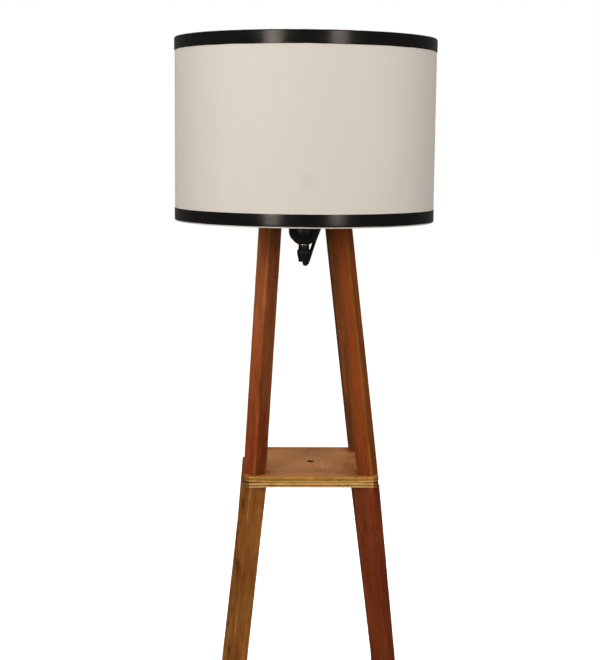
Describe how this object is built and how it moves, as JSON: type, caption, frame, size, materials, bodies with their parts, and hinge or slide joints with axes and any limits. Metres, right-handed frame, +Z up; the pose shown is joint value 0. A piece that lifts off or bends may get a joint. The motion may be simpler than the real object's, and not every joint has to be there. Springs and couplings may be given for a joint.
{
  "type": "shelf floor lamp",
  "caption": "Floor lamp with a cream drum shade edged in black tape, on splayed wooden legs that carry a small plywood shelf.",
  "frame": {"origin": "on the floor, on the upright axis of the shade and lampholder", "axes": "+Z up; the front, seen in the picture, is -Y; +X is the lamp's right side as seen from the front"},
  "size_m": [0.3556, 0.3556, 1.2201],
  "materials": {
    "oak_upper_left": "satin lacquer",
    "oak_upper_right": "satin lacquer",
    "oak_upper_rear": "satin lacquer",
    "oak_lower_left": "satin lacquer",
    "oak_lower_right": "satin lacquer",
    "oak_lower_rear": "satin lacquer",
    "plywood": "thin lacquer, bare laminated edge",
    "plate_wood": "satin lacquer",
    "glide_plastic": "matte",
    "zinc_steel": "zinc plated",
    "nickel_metal": "bright",
    "brass_metal": "satin",
    "holder_black": "semi gloss",
    "insulator_white": "glazed",
    "bulb_envelope": "opal",
    "bulb_aluminium": "bright",
    "bulb_black_glass": "gloss",
    "solder": "dull",
    "shade_cloth": "plain smooth cloth",
    "shade_lining": "matte white lining",
    "black_tape": "satin woven tape",
    "wire_white": "white powder coat",
    "lead_black": "smooth black sheath",
    "clip_black": "matte",
    "switch_black": "semi gloss",
    "plug_black": "matte"
  },
  "bodies": {
    "stand": {"lower_leg_front_left": "oak_lower_left", "lower_leg_front_right": "oak_lower_right", "lower_leg_rear_left": "oak_lower_rear", "lower_leg_rear_right": "oak_lower_rear", "upper_leg_front_left": "oak_upper_left", "upper_leg_front_right": "oak_upper_right", "upper_leg_rear_left": "oak_upper_rear", "upper_leg_rear_right": "oak_upper_rear", "shelf_upper_board": "plywood", "shelf_lower_board": "plywood", "top_plate": "plate_wood", "floor_glides": "glide_plastic", "upper_leg_screws": "zinc_steel", "lower_leg_screws": "zinc_steel", "top_plate_screws": "zinc_steel", "board_screws": "zinc_steel", "holder_cap": "holder_black", "holder_skirt": "holder_black", "holder_nipple": "zinc_steel", "nipple_washer": "zinc_steel", "nipple_nut": "zinc_steel", "cord_grip_collar": "holder_black", "cord_grip_nut": "holder_black", "holder_insulator": "insulator_white", "side_contact": "brass_metal", "plate_ring_nut": "holder_black", "shade_ring_nut": "holder_black", "lead_stand_length": "lead_black", "lead_to_coil": "lead_black", "lead_coil": "lead_black", "lead_to_plug": "lead_black", "coil_tie": "clip_black", "cord_clips": "clip_black", "clip_nails": "zinc_steel", "switch_lower_shell": "switch_black", "switch_upper_shell": "switch_black", "switch_screws": "zinc_steel", "switch_relief_in": "switch_black", "switch_relief_out": "switch_black", "plug_relief": "plug_black", "plug_body": "plug_black", "plug_pins": "nickel_metal"},
    "shade": {"shade_fabric": "shade_cloth", "shade_liner": "shade_lining", "shade_top_tape": "black_tape", "shade_bottom_tape": "black_tape", "shade_top_ring": "wire_white", "shade_spider": "wire_white"},
    "contact": {"centre_contact": "brass_metal"},
    "bulb": {"bulb_glass": "bulb_envelope", "bulb_cap": "bulb_aluminium", "bulb_base_insulator": "bulb_black_glass", "bulb_tip": "solder"},
    "rocker": {"switch_rocker": "switch_black"}
  },
  "joints": [
    {"name": "shade_turn", "type": "hinge", "parent": "stand", "child": "shade", "pos_m": [0, 0, 0.975], "axis": [0, 0, 1], "continuous": true},
    {"name": "contact_lift", "type": "slide", "parent": "stand", "child": "contact", "axis": [0, 0, 1], "range_m": [0, 0.00185]},
    {"name": "bulb_turn", "type": "hinge", "parent": "contact", "child": "bulb", "pos_m": [0, 0, 1], "axis": [0, 0, 1], "range_deg": [0, 180]},
    {"name": "switch_rock", "type": "hinge", "parent": "stand", "child": "rocker", "pos_m": [-0.008, 0.1223, 0.0124], "axis": [0.5971, 0.8022, 0], "range_deg": [0, 18]}
  ],
  "couplings": [
    {"joint": "contact_lift", "follows": "bulb_turn", "m_per_rad": 0.0005776}
  ]
}
